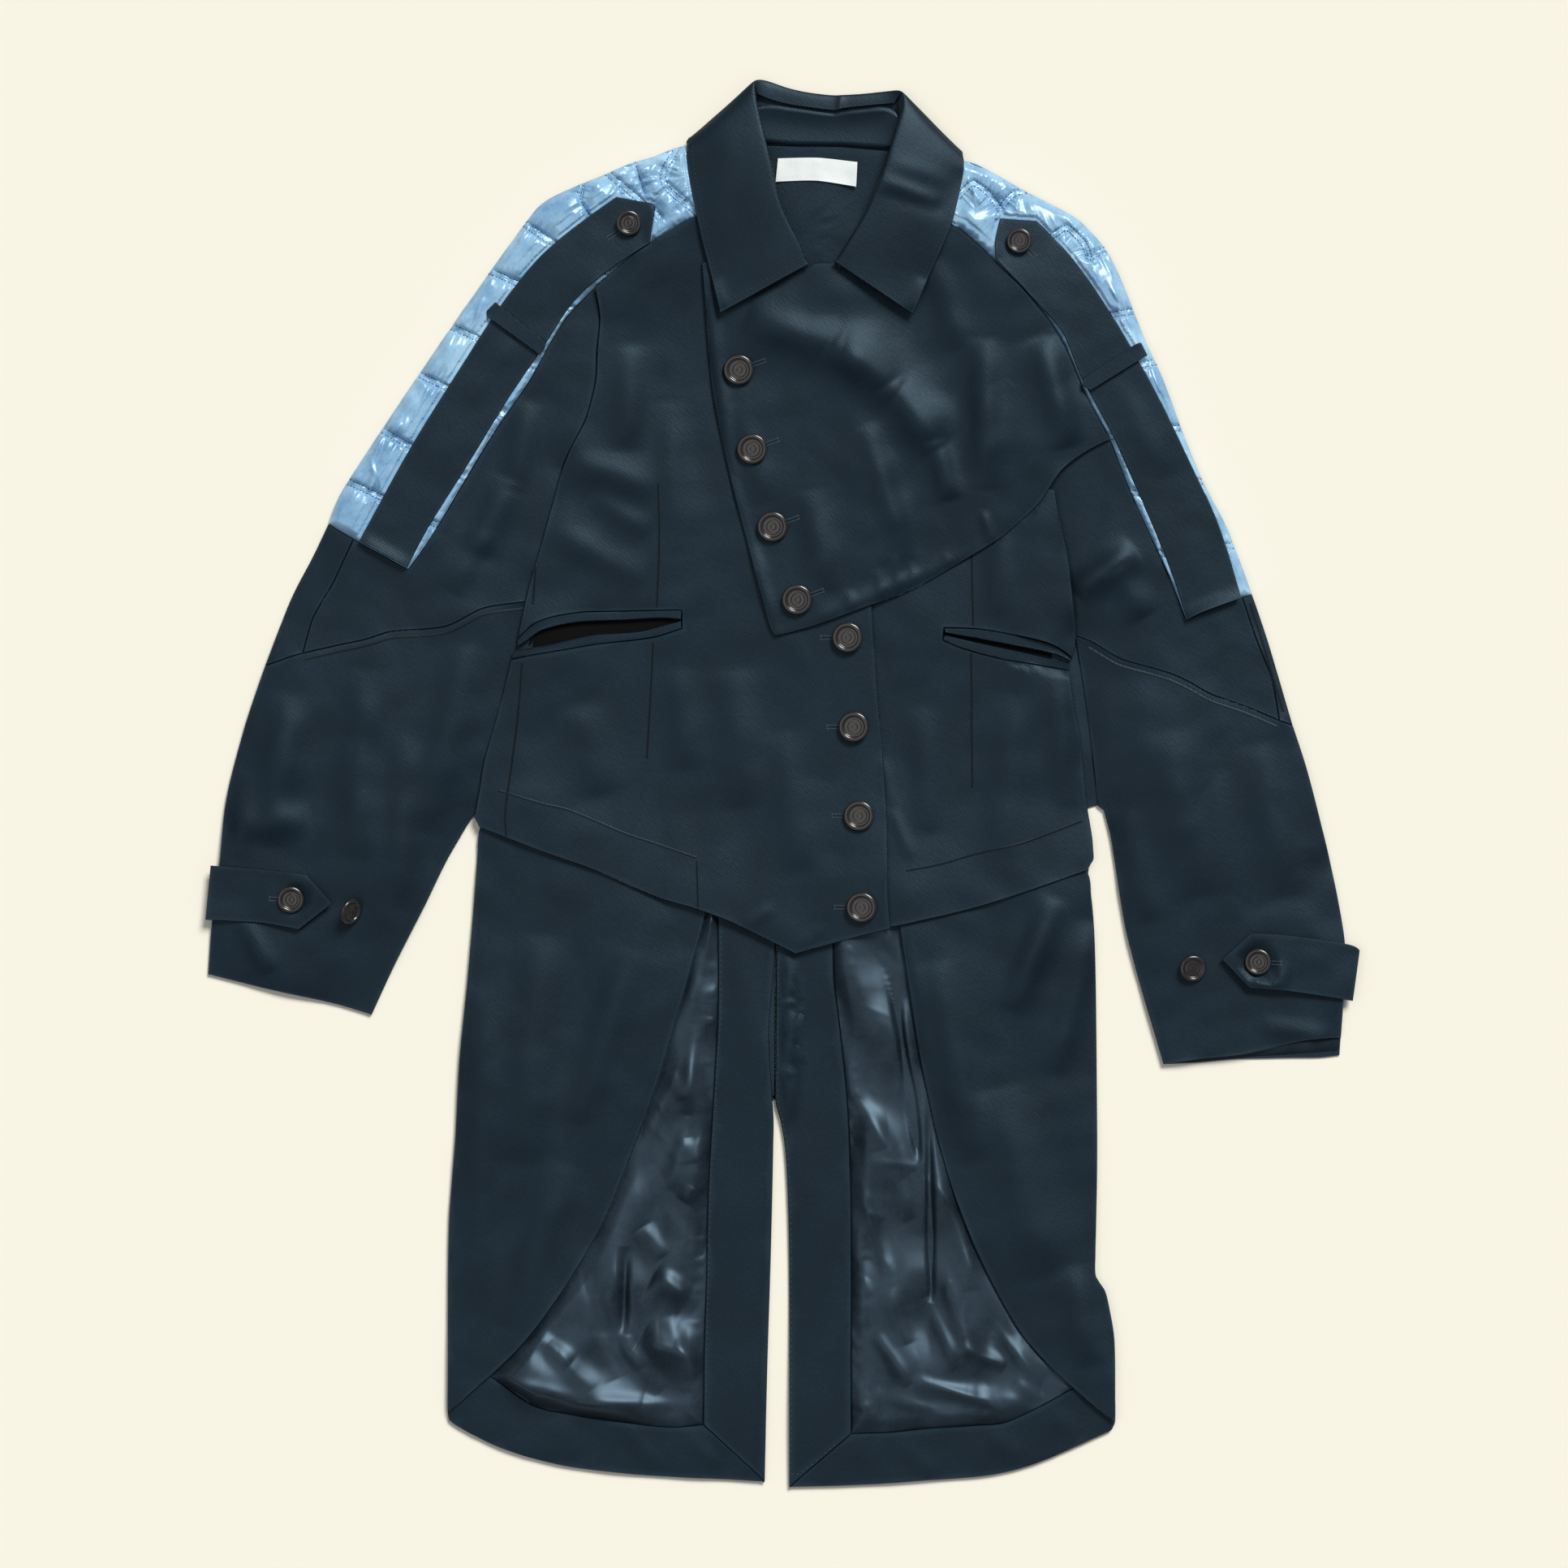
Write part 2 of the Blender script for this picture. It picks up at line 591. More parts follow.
LEFT_SATIN_FOLDS = (
    (-222, -462, -112, -494, 26, 9), (-112, -436, -64, -462, 17, 6), (-104, -392, -76, -408, 12, 4),
    (-66, -130, -75, -172, 6, 2), (-69, -190, -76, -262, 6, 2.2), (-74, -262, -90, -322, 6, 2.5),
    (-90, -225, -78, -250, 6, 1.5), (-75, -280, -72, -300, 7.5, 1.8), (-78, -330, -70, -318, 6, 1.8),
    (-110, -350, -94, -374, 7.5, 2.8), (-100, -384, -66, -412, 7.5, 3.2), (-165, -394, -132, -470, 9, 3.2),
    (-200, -430, -166, -456, 7.5, 3), (-110, -440, -66, -450, 7.5, 2.8), (-232, -467, -160, -486, 6, 2.5),
    (-160, -486, -66, -491, 6, 2.5), (-142, -400, -112, -462, 7.5, 2.2), (-185, -440, -150, -478, 7.5, 2.2),
    (-100, -300, -84, -360, 7.5, 2), (-128, -440, -96, -480, 6, 2.2), (-90, -420, -68, -470, 6, 1.8),
)
RIGHT_SATIN_FOLDS = (
    (50, -235, 98, -310, 7, 2.9), (76, -290, 100, -345, 7, 2.6), (61, -315, 84, -390, 5.6, 2.4),
    (82, -398, 98, -442, 7, 2.6), (70, -430, 100, -474, 5.6, 2.6), (100, -474, 190, -488, 7, 2.9),
    (102, -468, 180, -495, 4.2, 1.9), (70, -480, 140, -500, 5.6, 1.9), (140, -444, 176, -460, 5.6, 2.6),
    (182, -470, 224, -500, 5.6, 2.4), (140, -330, 150, -400, 7, 2.4), (124, -380, 150, -452, 7, 2.2),
    (112, -405, 138, -462, 5.6, 2.2), (64, -260, 70, -330, 5.6, 1.7), (168, -430, 206, -478, 5.6, 2.2),
    (56, -350, 62, -440, 5.6, 1.4), (80, -116, 95, -148, 4.2, 3),
)
# long narrow pleats that are held down
SATIN_HOLLOWS = (
    (-124, -365, -126, -436, 4, -6), (86, -150, 108, -300, 3.2, -9), (115, -255, 117, -410, 2.6, -7),
)
SATIN_THICKNESS = 0.9


def scattered(count, low, high, seed, length, width, height, turn, spread):
    """Rows of small folds strewn over a rectangle. length, width and height are each a lowest and a
    highest value, and turn and spread the direction of the folds in degrees."""
    chance = np.random.default_rng(seed)
    rows = []
    for _ in range(count):
        x, y = chance.uniform(low, high)
        angle = math.radians(chance.normal(turn, spread))
        reach = chance.uniform(*length) / 2
        rows.append((x - reach * math.cos(angle), y - reach * math.sin(angle), x + reach * math.cos(angle),
                     y + reach * math.sin(angle), chance.uniform(*width), chance.uniform(*height)))
    return rows


# creases: how high they stand in their noise, how slowly they change as they run out, and where they start
CREASE_SHARE = 1.8
CREASE_RUN = 40
CREASE_START = 3.5


def gathered(line, pitch, reach, height, seed):
    """Small creases that run out from a sewn line, uneven in place, length and depth."""
    def rise(points):
        away, along, side = to_line(points, line)
        total = np.zeros(len(points))
        near = np.nonzero(away < 3 * reach)[0]
        for k in near:
            crease = noise.noise(Vector((along[k] / pitch, seed + 3.7 * side[k], away[k] / CREASE_RUN)))
            long = reach * (1 + 0.8 * noise.noise(Vector((along[k] / pitch / 2, seed + 9.1, side[k]))))
            total[k] = (CREASE_SHARE * height * crease * math.exp(-(away[k] / long) ** 2)
                        * min(1.0, away[k] / CREASE_START))
        return total
    return rise


# Polyester lining satin: smooth floats that shine in soft bright patches and go dark between them.
satin = woven("lining_satin", "#050A11", "#26323D", rib=0.9, turn=30, roughness=0.42, specular=0.8,
              tint="#B0D4F2", bump=0.03, patch=46.0)
for side, folds, seam, low, high in (
        ("left", LEFT_SATIN_FOLDS, LEFT_FACING_SEAM, (-240, -500), (-58, -150)),
        ("right", RIGHT_SATIN_FOLDS, RIGHT_FACING_SEAM, (48, -500), (235, -180))):
    small = scattered(30, low, high, 11, (16, 60), (2.5, 6.0), (0.2, 0.8), -55, 26)
    cloth(f"tail_lining_{side}", f"lining_{side}", satin, levels=4, thickness=SATIN_THICKNESS,
          lift=together(swell(38, 9.0, 5.0, (1, 0.7)), ridges(*folds), ridges(*SATIN_HOLLOWS)), slack=12.0,
          pressed_by=[f"skirt_{side}", f"vent_facing_{side}", f"hem_facing_{side}"],
          relief=together(ridges(*small), gathered(seam, 8.0, 10.0, 0.9, 2.0),
                          ripple(20, 1.4, 5.0, (1, 0.6))),
          rests_on=[f"back_{side}"])
stitched("facing_seam_stitches", *along_edges(("vent_facing_piece_left", (-51, -100), (-62, -500), 1.2),
                                              ("vent_facing_piece_right", (40, -100), (54, -508), 1.2)),
         hole_thread, length=2.4, pitch=4.6)


# Pocket bags
# Bags of plain black cotton, sewn to the pocket lips and hung behind the fronts. They show only in the
# mouths of the pockets.

# Plain pocketing cotton: dull and nearly black.
pocketing = woven("pocketing_cotton", "#030406", "#07080A", rib=0.8, turn=0, roughness=0.9, specular=0.15)
for side in SIDES:
    cloth(f"pocket_lining_{side}", f"pocket_bag_{side}", pocketing, levels=2,
          thickness=SATIN_THICKNESS, rests_on=[f"back_{side}"])


# Label
# A bare woven ribbon with folded ends, tacked to the neck facing along its short sides. Its lower corner
# on the right curls up.

# Woven ribbon: pale and even, with hardly any shine.
ribbon = woven("ribbon_weave", "#E3ECEF", "#F0F7F8", rib=1.0, turn=0, roughness=0.6, specular=0.3,
               bump=0.2, patch=18.0)
ribbon_thread = thread_finish("ribbon_tacking_thread", "#D9DEE0")
cloth("neck_label", "label", ribbon, levels=4, thickness=0.6, rests_on=["neck_facing"],
      lift=ridges((62, 492, 59, 464, 9, 2.6), (-8, 496, -8, 468, 8, 1.4), (20, 470, 64, 466, 5, 1.6)),
      relief=together(ridges((28, 492, 27, 474, 5, 0.5)), ripple(9, 0.25, 2.0)))
stitched("label_tacking", *along_edges(("neck_label", (-4, 490), (-5, 475), 1.3),
                                       ("neck_label", (57, 471), (58, 487), 1.3)),
         ribbon_thread, "ribbon", length=1.5, pitch=2.4, width=0.5)


# Quilted sleeve tops
# A pale blue polyester satin over wadding, stitched through in pairs of lines, so that it puffs up
# between them and creases where they hold it. Near the collar the lines zigzag.

LEFT_QUILT_ROWS = (
    ((-84, 499), (-94, 473), (-66, 447)), ((-117, 491), (-109, 464)),
    ((-138, 480), (-112, 458), (-98, 446)), ((-156, 475), (-159, 458), (-150, 444)),
    ((-205, 441), (-181, 425), (-130, 398)), ((-235, 405), (-158, 369)), ((-265, 361), (-184, 323)),
    ((-292, 324), (-208, 284)), ((-321, 281), (-238, 232)), ((-346, 239), (-262, 198)),
)
RIGHT_QUILT_ROWS = (
    ((138, 461), (150, 472), (163, 463), (171, 451)), ((171, 451), (181, 463), (196, 468)),
    ((212, 430), (224, 437), (237, 424), (241, 413)), ((241, 413), (256, 421)),
    ((280, 372), (226, 362)), ((296, 332), (238, 318)), ((317, 280), (254, 272)),
    ((335, 238), (276, 228)), ((357, 187), (296, 180)),
)
LEFT_QUILT_SEAM = ((-68, 446), (-103, 426), (-132, 404), (-148, 390), (-171, 366), (-200, 316), (-251, 237),
                   (-295, 168))
RIGHT_QUILT_SEAM = ((131, 439), (150, 426), (164, 413), (188, 390), (224, 340), (258, 270), (289, 196),
                    (318, 128))
QUILT_THICKNESS = 1.6
DOME_HEIGHT = 5.0
DOME_SHOULDER = 18.0
EDGE_SHOULDER = 7.0
TWIN_ROWS = 2.2
DITCH_DEPTH = 1.8
DITCH_WIDTH = 1.2
# rows held on their own single line, because a pinch shows there in place of twin rows
PINCHED = (1, 3)


def quilted(rows, pinched, edge):
    """Domes between the rows of stitches and the edge, a ditch along each row, and the creases there."""
    def rise(points):
        inside = np.min([to_line(points, pair)[0] for pair in edge], axis=0) / EDGE_SHOULDER
        nearest = np.full(len(points), FAR)
        total = np.zeros(len(points))
        for k, row in enumerate(rows):
            away, _, _ = to_line(points, row)
            nearest = np.minimum(nearest, away)
            off = away if k in pinched else np.abs(away - TWIN_ROWS)
            total -= DITCH_DEPTH * np.exp(-(off / DITCH_WIDTH) ** 2)
            total += gathered(row, pitch=5.0, reach=13.0, height=2.0, seed=5.0 * k)(points)
            total += gathered(row, pitch=2.7, reach=9.0, height=1.0, seed=5.0 * k + 2)(points)
        share = np.clip(nearest / DOME_SHOULDER, 0.0, 1.0)
        dome = DOME_HEIGHT * np.sqrt(1 - (1 - share) ** 2)
        return total + dome * np.sin(np.minimum(inside, 1.0) * math.pi / 2)
    return rise


def twins(row):
    """The two lines of a pair of stitched rows."""
    path = evenly(row, step=5.0)
    across = crosswise(np.gradient(path, axis=0))
    return [path + across * TWIN_ROWS, path - across * TWIN_ROWS]


# Pressed polyester satin: a cool gloss that sparkles on every crease.
quilt = woven("quilted_polyester_satin", "#6F9DC7", "#A2CDEC", rib=0.9, turn=20, roughness=0.30,
              specular=1.0, tint="#DDF6FF", bump=0.05, patch=25.0)
quilt_thread = thread_finish("quilting_thread", "#24405E")
for side, rows, seam, pinched, low, high, turn in (
        ("left", LEFT_QUILT_ROWS, LEFT_QUILT_SEAM, PINCHED, (-340, 190), (-60, 500), 62),
        ("right", RIGHT_QUILT_ROWS, RIGHT_QUILT_SEAM, (), (130, 140), (360, 490), -66)):
    creases = scattered(320, low, high, 23, (12, 34), (1.5, 3.2), (0.5, 1.7), turn, 18)
    cloth(f"quilted_top_{side}", f"quilt_{side}", quilt, levels=4, thickness=QUILT_THICKNESS,
          relief=together(quilted(rows, pinched, edge_of(f"quilt_{side}")), ridges(*creases),
                          gathered(seam, 3.6, 8.0, 1.8, 7.0), ripple(13, 1.5, 2.0)),
          rests_on=[f"sleeve_under_{side}"])
    lines = [line for k, row in enumerate(rows) for line in ([row] if k in pinched else twins(row))]
    stitched(f"quilting_stitches_{side}", lines, [f"quilted_top_{side}"], quilt_thread, "quilt", length=2.8,
             pitch=2.7, width=1.1, height=0.3)


# Sleeves
# Each has a front piece that goes up to the shoulder, a narrow side strip, and a forearm below the
# slanting elbow seam. Lying flat, they keep long soft folds.

SLEEVE_RIDGES = (
    (-436, -34, -372, -30, 12, 2.8), (-428, -102, -404, -150, 8, 3), (374, -190, 430, -200, 8, 1.8),
    (-388, 70, -402, -50, 15, 3.5), (-328, 90, -338, -60, 15, 3.5), (-298, 60, -300, -100, 12.5, 2.2),
    (230, 150, 278, 184, 11.2, 4.8), (262, 168, 285, 130, 11.2, 2.6), (300, 40, 330, -90, 17.5, 3.5),
    (372, 30, 400, -90, 15, 3.1), (-250, 110, -280, -40, 15, 2.6), (-215, 240, -240, 180, 12.5, 3.5),
    (-200, 300, -212, 230, 10, 2.6), (340, 10, 352, -110, 12.5, 2), (-420, 10, -430, -60, 10, 2.2),
    (268, -20, 290, -110, 11.2, 2.2), (-235, 200, -262, 150, 10, 2.2),
)
for side in SIDES:
    for part in ("sleeve", "sleeve_side", "forearm"):
        cloth(f"{part}_piece_{side}", f"{part}_{side}", twill,
              lift=ridges(*SLEEVE_RIDGES),
              relief=together(ripple(65, 3.2, 6.0, (1, 0.6)), ripple(24, 0.7, 6.0)),
              rests_on=[f"sleeve_under_{side}"])
seamed("elbow_seams", *along_edges(("forearm_piece_left", (-192, 144), (-378, 101), 4.5),
                                   ("forearm_piece_right", (391, 48), (231, 115), 4.5),
                                   ("sleeve_side_piece_right", (363, 145), (391, 50), 3.5)))

# the lining seen in the mouth of the cuff on the right: its edge under the upper side, and its hem
CUFF_MOUTH = (((439, -196), (438, -211)), ((413, -198), (414, -213)), ((390, -203), (392, -214.5)),
              ((362, -209), (366, -216)), ((333, -214), (338, -218)))
MOUTH_LIFT = 0.15
mouth_points = [(x, y, height_on((x, y), ["under_sleeve_right"]) + rise)
                for rise in (MOUTH_LIFT, -MOUTH_LIFT) for row in zip(*CUFF_MOUTH) for x, y in row]
count = len(CUFF_MOUTH)
mouth_faces = []
for k in range(count - 1):
    mouth_faces += [(k, k + count, k + count + 1, k + 1),
                    (k + 2 * count, k + 2 * count + 1, k + 3 * count + 1, k + 3 * count),
                    (k, k + 1, k + 2 * count + 1, k + 2 * count),
                    (k + count + 1, k + count, k + 3 * count, k + 3 * count + 1)]
mouth_faces += [(0, 2 * count, 3 * count, count),
                (count - 1, 2 * count - 1, 4 * count - 1, 3 * count - 1)]
mouth = new_mesh("cuff_mouth_lining_right", mouth_points, mouth_faces, satin)
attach(mouth, "root")


# Skirts
# The fronts of the tails, of the same twill, cut away in a curve from the waist to the side of the hem.
# They are sewn in behind the fronts and lie over the linings in long loose folds.

SKIRT_RIDGES = (
    (-190, -120, -205, -300, 18.2, 4.2), (-120, -130, -160, -270, 13, 3.1),
    (-235, -160, -240, -420, 13, 3.1),
    (170, -240, 206, -390, 20.8, 4.7), (120, -140, 150, -300, 13, 3.6), (-170, -300, -215, -430, 15.6, 3.1),
    (215, -90, 180, -180, 11.7, 4.7), (244, -110, 214, -230, 11.7, 3.6), (228, -380, 240, -460, 10.4, 3.1),
    (97, -112, 118, -230, 5, 1),
)
for side in SIDES:
    cloth(f"skirt_piece_{side}", f"skirt_{side}", twill, rests_on=[f"back_{side}"],
          lift=ridges(*SKIRT_RIDGES), relief=together(ripple(75, 4.5, 7.0, (1, 0.5)), ripple(24, 0.6, 7.0)))


# Pocket lips
# Two folded strips of twill, let into a slit in each front and stitched along their edges. They go with
# the front's own cloth.

for side in SIDES:
    for part in ("upper", "lower"):
        cloth(f"pocket_lip_{part}_{side}", f"welt_{part}_{side}", twill)


# Fronts
# Two fronts of twill with long shaping seams. The one on the left of the view buttons over the other one
# and runs down to a point.

FRONT_RIDGES = (
    (-168, 256, -98, 228, 11, 2.2), (-182, 198, -108, 158, 11, 2), (-150, 226, -104, 196, 8.8, 1.8),
    (-120, 345, -124, 262, 12.5, 3.1), (12, -130, 34, -112, 4, 1), (-30, -112, -6, -98, 5, 0.8),
    (-160, 60, -140, -10, 17.5, 2.6), (215, 90, 225, -20, 10, 2.6), (-40, 90, -30, -20, 17.5, 3.1),
    (0, 40, 14, -70, 15, 2.6), (-80, 90, -76, 10, 12.5, 2), (108, 60, 116, -40, 11.2, 2.2),
    (180, 70, 176, -60, 15, 2.6), (-90, 300, -84, 180, 12.5, 2.6), (79, 20, 86, -20, 3, 1),
    (86, -20, 101, -60, 4, 1.2), (172, 200, 168, 130, 11.2, 2.6),
)
for side in ("right", "left"):
    cloth(f"front_piece_{side}", f"front_{side}", twill, rests_on=[f"skirt_{side}"],
          lift=ridges(*FRONT_RIDGES), relief=together(ripple(80, 4.0, 8.0, (1, 0.6)), ripple(26, 0.7, 8.0)))
seamed("front_seams_left", [
    ((-98, 236), (-97, 194), (-99, 138)), ((-102, 110), (-104, 70), (-107, 19)),
    ((-194, 176), (-196.5, 140)), ((-205, 94), (-208, 57), (-213, 16), (-218, -21), (-217.5, -42)),
    ((-224, -6), (-191, -16), (-170, -21), (-143, -32), (-124, -40), (-100, -48), (-68, -59)),
    ((-67.5, -62), (-67, -80), (-66.5, -98))], ["front_piece_left"])
seamed("front_seams_right", [
    ((149, 180), (150, 124)), ((148.5, 102), (149, 50), (149.5, -4)),
    ((97, -69), (124, -64), (152, -56), (190, -47), (236, -30))], ["front_piece_right"])
# side, where the rows on the upper and the lower lip start and end, how far they are from the edge
LIP_STITCHES = (("left", ((-80, 135), (-206, 114)), ((-212, 99), (-81, 122)), 1.3),
                ("right", ((226, 98), (128, 121)), ((127, 112), (225, 89)), 1.2))
for side, upper, lower, inset in LIP_STITCHES:
    stitched(f"pocket_stitches_{side}", *along_edges((f"pocket_lip_upper_{side}", *upper, inset),
                                                     (f"pocket_lip_lower_{side}", *lower, inset)),
             dark_thread, length=2.0, pitch=2.8, width=0.5, height=0.2)


# Storm flap
# A second layer of twill over the chest, sewn in at the neck and the shoulder and buttoned down the
# middle. It is lined with itself and bellies out in big folds.

FLAP_RIDGES = (
    (-30, 366, 46, 340, 15, 4.4), (36, 344, 92, 308, 15, 5), (84, 314, 122, 262, 14, 5),
    (120, 270, 132, 222, 9, 3.6), (66, 282, 100, 168, 10, 3.2), (158, 350, 160, 230, 12, 4),
    (204, 350, 226, 264, 12, 5), (157, 214, 166, 186, 4, 2), (75, 168, 79, 144, 4, 0.9),
    (88, 180, 93, 148, 3.5, 1), (101, 174, 104, 152, 3, 0.8), (52, 152, 54, 134, 4, 0.8),
    (128, 182, 131, 168, 3, 0.6), (118, 412, 140, 340, 11, 3), (-36, 300, -14, 220, 10, 1.4),
    (20, 230, 36, 150, 12, 2.4), (-63, 420, -36, 212, 5, 2.2), (-40, 240, -3, 108, 5, 2),
    (-10, 114, 170, 190, 6, 1.2),
)
cloth("storm_flap_piece", "storm_flap", twill, rests_on=["front_left", "front_right"],
      lift=ridges(*FLAP_RIDGES), relief=together(ripple(60, 2.0, 1.0), ripple(22, 0.6, 1.0)))


# Shoulder straps and their carrier loops
# Long double straps of twill that lie over the quilted tops. Each is sewn in above the elbow, held by
# a loop and buttoned near the collar.

LOOP_LIFT = 1.2
STRAP_ENDS = ((-336, 192, -292, 166, 7, 3), (364, 147, 314, 127, 7, 3), (-104, 424, -101, 456, 5, 1.2),
              (167, 412, 168, 444, 5, 1.2), (-210, 350, -250, 300, 9, 1), (262, 320, 300, 240, 9, 1))
for side in SIDES:
    cloth(f"shoulder_strap_{side}", f"strap_{side}", twill, rests_on=[f"quilt_{side}"],
          lift=ridges(*STRAP_ENDS), relief=together(ripple(45, 0.9, 2.5), ripple(18, 0.4, 2.5)))
    cloth(f"carrier_loop_{side}", f"loop_{side}", twill, rests_on=[f"strap_{side}"],
          lift=lambda points: np.full(len(points), LOOP_LIFT))


# Cuff tabs
# Pointed double tabs of twill that come round from the back of the sleeve and button down. They are
# stitched along the edge.

TAB_ENDS = ((-350, -84, -396, -74, 12, 1.5), (362, -150, 400, -156, 12, 2.5))
for side in SIDES:
    cloth(f"cuff_strap_{side}", f"cuff_tab_{side}", twill, rests_on=[f"forearm_{side}"],
          lift=together(swell(60, 4.0, 1.5), ridges(*TAB_ENDS)), relief=ripple(22, 0.7, 3.5))
stitched("tab_topstitch", *along_edges(("cuff_strap_left", (-449, -108), (-449, -67), 4.5),
                                       ("cuff_strap_right", (449, -134), (446, -170), 4.5)), dark_thread)


# Collar
# The fall rolls over a stand and spreads into two wide wings with stitched edges. The back of it has a
# crease down the middle.

COLLAR_THICKNESS = 1.7
WING_RIDGES = ((72, 474, 124, 455, 7, 1.8), (82, 488, 134, 472, 8, 0.9), (46, 545, 44, 512, 3, 1),
               (-56, 398, -48, 372, 6, 1.8), (112, 396, 102, 370, 6, 1.8), (-40, 520, -52, 430, 12, 0.8))
WING_HOLLOWS = ((76, 464, 130, 449, 6, -0.8),)
cloth("collar_outer", "collar_fall", twill, thickness=COLLAR_THICKNESS, along=True,
      rests_on=["collar_stand", "storm_flap"],
      lift=ridges(*WING_RIDGES), relief=together(ridges(*WING_HOLLOWS), ripple(30, 0.6, 5.5)))
cloth("collar_inner", "collar_stand", twill, thickness=TWILL_THICKNESS, along=True,
      rests_on=["neck_facing"],
      lift=ridges((-26, 538, 48, 530, 9, 2.6), (40, 531, 92, 536, 9, 2.6)),
      relief=together(ridges((46, 536, 44, 503, 3, 0.7)), ripple(24, 0.5, 3.3)))

stitched("collar_topstitch", *along_edges(("collar_outer", (-75, 500), (16, 401), 4.5),
                                          ("collar_outer", (46, 402), (142, 492), 4.5)), edge_thread)


# Buttons and buttonholes
# Turned from dark brown resin, with a domed rim and plain rings in the face. Each passes through a
# stitched hole, whose end shows beside it.

BUTTON_FACE = ((0, -1.2), (0.12, -1.2), (0.16, -1.1), (0.21, -1.1), (0.25, -1.25), (0.38, -1.25),
               (0.42, -1.1), (0.49, -1.1), (0.53, -1.3), (0.64, -1.3), (0.68, -1), (0.72, -0.3),
               (0.78, -0.05), (0.84, 0), (0.90, -0.1), (0.96, -0.5), (1, -1.2), (0.98, -2.2),
               (0.90, -3.2), (0.60, -3.8), (0.26, -3.9), (0.24, -5.1), (0, -5.1))
BUTTON_STEPS = 56
# node, where its hole ends from its middle (direction in degrees, millimetres), what it is cut in
BUTTONS = [(f"flap_button_{k}", 20, 22, "storm_flap_piece") for k in (1, 2, 3, 4)]
BUTTONS += [(f"front_button_{k}", 180, 21, "front_piece_left") for k in (1, 2, 3, 4)]
BUTTONS += [("strap_button_left", 215, 20, "shoulder_strap_left"),
            ("strap_button_right", -44, 18, "shoulder_strap_right"),
            ("tab_button_left", 178, 17, "cuff_strap_left"),
            ("tab_button_right", -3, 18, "cuff_strap_right"),
            ("sleeve_button_left", 0, 0, ""), ("sleeve_button_right", 0, 0, "")]
HOLE_START = 2
HOLE_HALF_WIDTH = 1.3
BAR_SHARE = 1.3
RESIN_CLOUD = 6.25

# Polished polyester resin: a hard clear gloss over a faintly cloudy dark brown.
resin, resin_tree, resin_shader = new_finish("polished_resin")
resin_place = add(resin_tree, "TexCoord", {}).outputs["Object"]
resin_cloud = add(resin_tree, "TexNoise", {"Vector": resin_place, "Scale": 1 / (RESIN_CLOUD * MM),
                                            "Detail": 3.0})
resin_colour = add(resin_tree, "Mix", {"Factor": resin_cloud.outputs["Fac"], 6: linear("#151314"),
                                       7: linear("#262223")}, data_type="RGBA")
resin_tree.links.new(resin_colour.outputs[2], resin_shader.inputs["Base Color"])
plain(resin_shader, {"Roughness": 0.2, "Specular IOR Level": 0.8, "IOR": 1.54})

for node, toward, reach, cut_in in BUTTONS:
    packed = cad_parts[node].data
    places = np.array([v.co[:] for v in packed.vertices]) / MM
    places = np.unique(np.round(places, 3), axis=0)
    middle = places.mean(axis=0)
    _, _, directions = np.linalg.svd(places - middle)
    axis = Vector(directions[2] * (1 if directions[2][2] > 0 else -1))
    heights = (places - middle) @ np.array(axis)
    radius = np.linalg.norm(places - middle - heights[:, None] * np.array(axis), axis=1).max()
    turn = axis.to_track_quat("Z", "Y").to_matrix()
    rings = []
    for share, height in BUTTON_FACE:
        for step in range(BUTTON_STEPS if share else 1):
            angle = 2 * math.pi * step / BUTTON_STEPS
            spot = Vector((share * radius * math.cos(angle), share * radius * math.sin(angle), height))
            rings.append(Vector(middle) + turn @ (spot + Vector((0, 0, heights.max()))))
    faces = [(0, 1 + step, 1 + (step + 1) % BUTTON_STEPS) for step in range(BUTTON_STEPS)]
    for ring in range(len(BUTTON_FACE) - 3):
        first = 1 + ring * BUTTON_STEPS
        for step in range(BUTTON_STEPS):
            beside = (step + 1) % BUTTON_STEPS
            faces.append((first + step, first + BUTTON_STEPS + step, first + BUTTON_STEPS + beside,
                          first + beside))
    last = len(rings) - 1
    first = last - BUTTON_STEPS
    faces += [(first + step, last, first + (step + 1) % BUTTON_STEPS) for step in range(BUTTON_STEPS)]
    made = new_mesh(node + "_turned", [p[:] for p in rings], faces, resin)
    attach(made, "root")
    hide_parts(node)
    if cut_in:
        way = np.array((math.cos(math.radians(toward)), math.sin(math.radians(toward))))
        across = np.array((-way[1], way[0])) * HOLE_HALF_WIDTH
        start, end = middle[:2] + way * HOLE_START, middle[:2] + way * reach
        stitched(node + "_hole", [(start + across, end + across), (start - across, end - across),
                                  (end + across * BAR_SHARE, end - across * BAR_SHARE)],
                 [cut_in], hole_thread, length=1.9, pitch=0.85, width=0.8, height=0.4, turn=90)
        stitched(node + "_slit", [(start, end)], [cut_in], ditch_thread, length=2.6, pitch=1.6, width=0.9,
                 height=0.3)


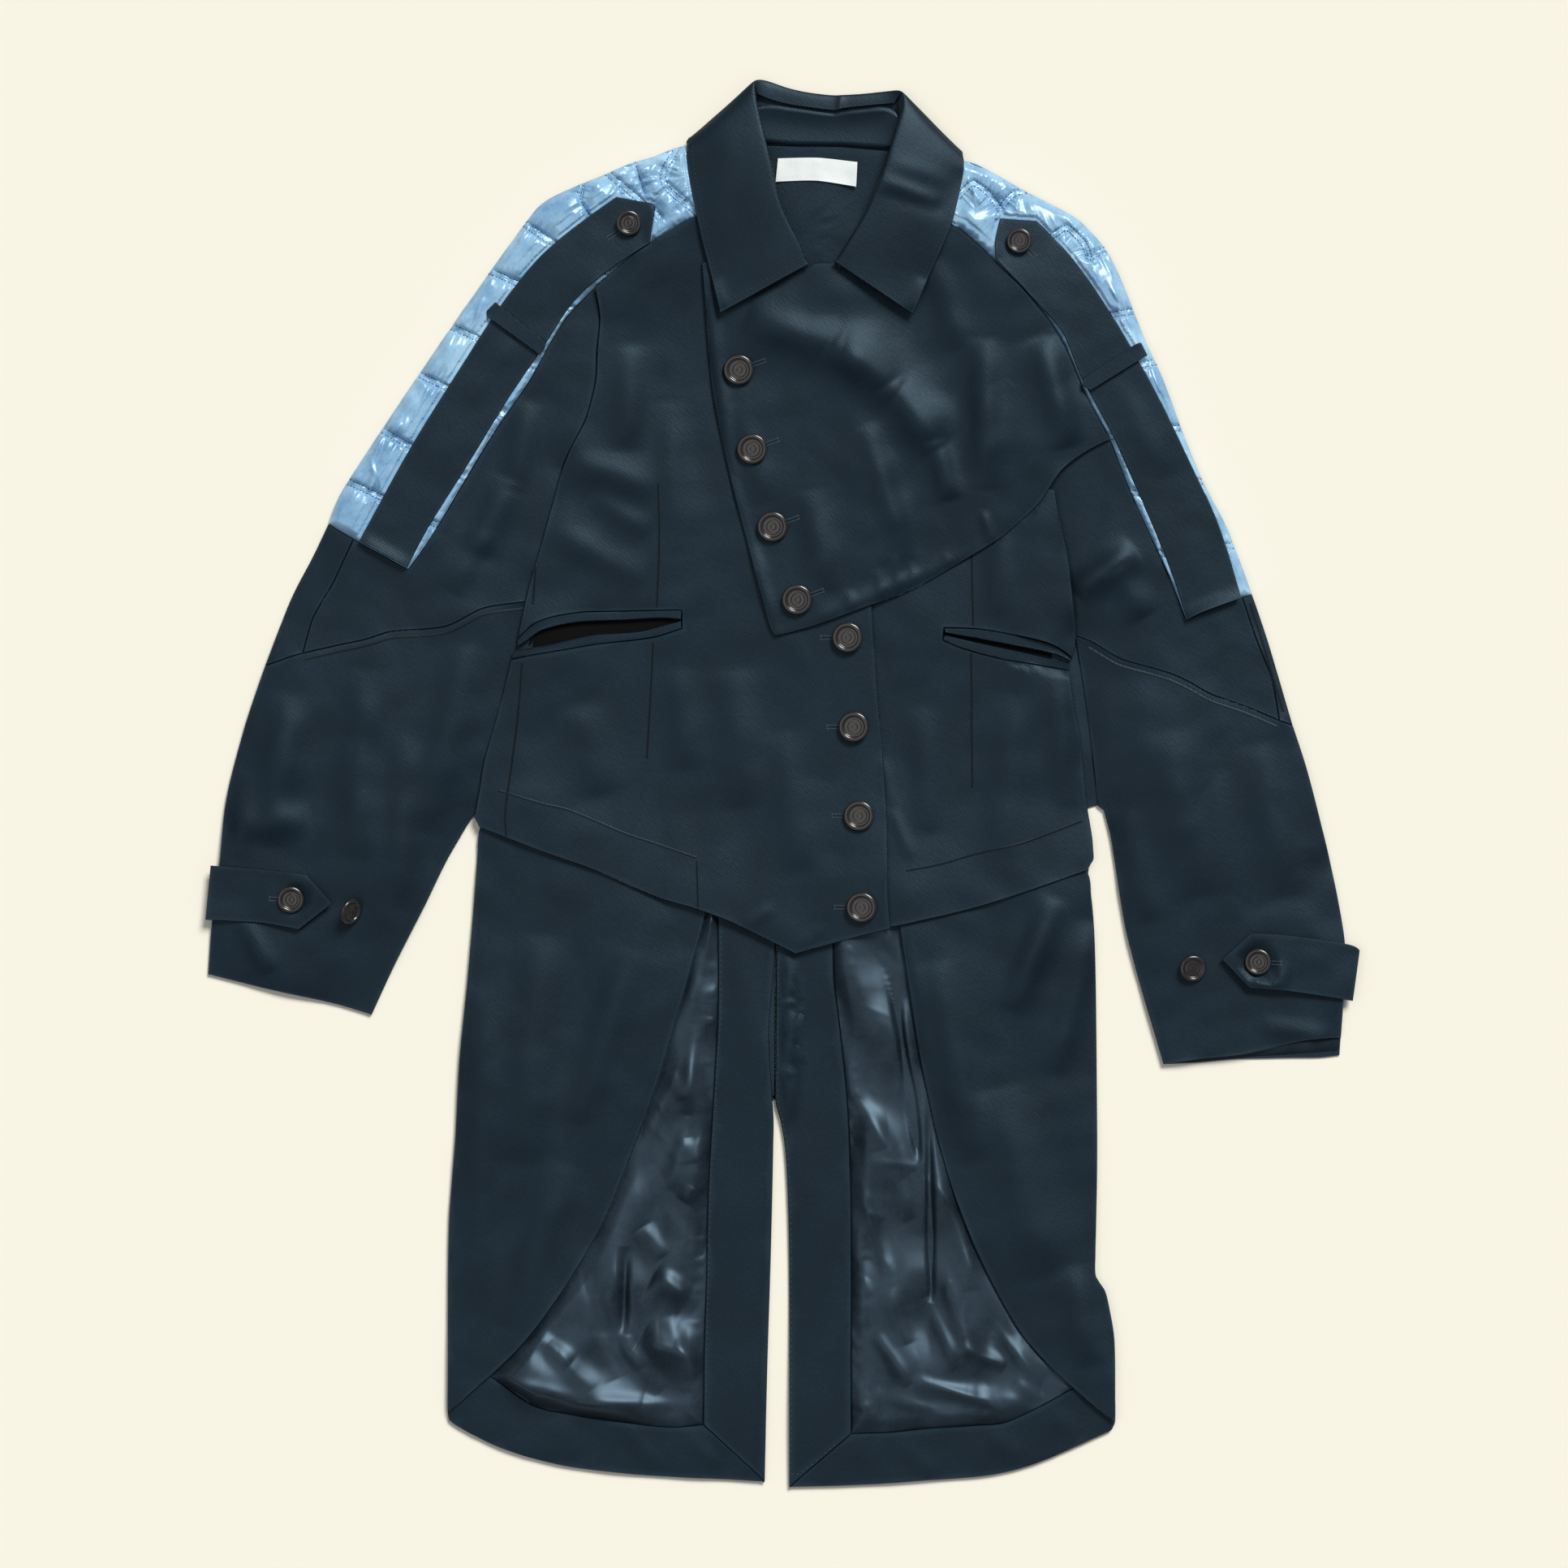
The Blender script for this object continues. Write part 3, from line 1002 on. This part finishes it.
# Floor, lights and camera
# A pale cream table, soft window light from above the collar and a little to the right, a weaker glow
# from the ceiling, and a camera straight above.

FLOOR_SIZE = 6.0
FLOOR_DROP = 0.0005
VIEW_WIDTH = 1.2365
CAMERA_HEIGHT = 5.0
CAMERA_PLACE = (0.001, -0.001)
LAMP_DISTANCE = 3.0

bpy.ops.mesh.primitive_plane_add(size=FLOOR_SIZE, location=(0, 0, -FLOOR_DROP))
floor = bpy.context.object
floor.name = "floor"
# Uncoated paper: it gives back a soft even light and no shine.
paper, _, paper_shader = new_finish("cream_paper")
plain(paper_shader, {"Base Color": "#F7F5E9", "Roughness": 0.9, "Specular IOR Level": 0.1})
floor.data.materials.append(paper)
floor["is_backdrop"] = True

world = bpy.context.scene.world or bpy.data.worlds.new("room")
bpy.context.scene.world = world
bpy.context.scene.view_settings.view_transform = "Standard"
world.use_nodes = True
plain(world.node_tree.nodes["Background"], {"Color": "#F4F6FA", "Strength": 0.22})

# name, azimuth and elevation in degrees, how wide it looks in degrees, strength
LIGHTS = (
    ("window", 62, 46, 24, 3.1),
    ("ceiling", 190, 68, 50, 0.38),
)
for name, azimuth, elevation, spread, strength in LIGHTS:
    lamp = bpy.data.lights.new(name, "SUN")
    lamp.energy = strength
    lamp.angle = math.radians(spread)
    lamp.color = linear("#FFFCF6")[:3]
    holder = bpy.data.objects.new(name, lamp)
    level = math.cos(math.radians(elevation))
    toward = Vector((level * math.cos(math.radians(azimuth)), level * math.sin(math.radians(azimuth)),
                     math.sin(math.radians(elevation))))
    holder.location = toward * LAMP_DISTANCE
    holder.rotation_mode = "QUATERNION"
    holder.rotation_quaternion = toward.to_track_quat("Z", "Y")
    bpy.context.scene.collection.objects.link(holder)

eye = bpy.data.cameras.new("camera")
eye.type = "PERSP"
eye.sensor_width = 36.0
eye.lens = eye.sensor_width * CAMERA_HEIGHT / VIEW_WIDTH
camera = bpy.data.objects.new("camera", eye)
camera.location = (*CAMERA_PLACE, CAMERA_HEIGHT)
bpy.context.scene.collection.objects.link(camera)
bpy.context.scene.camera = camera

low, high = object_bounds()
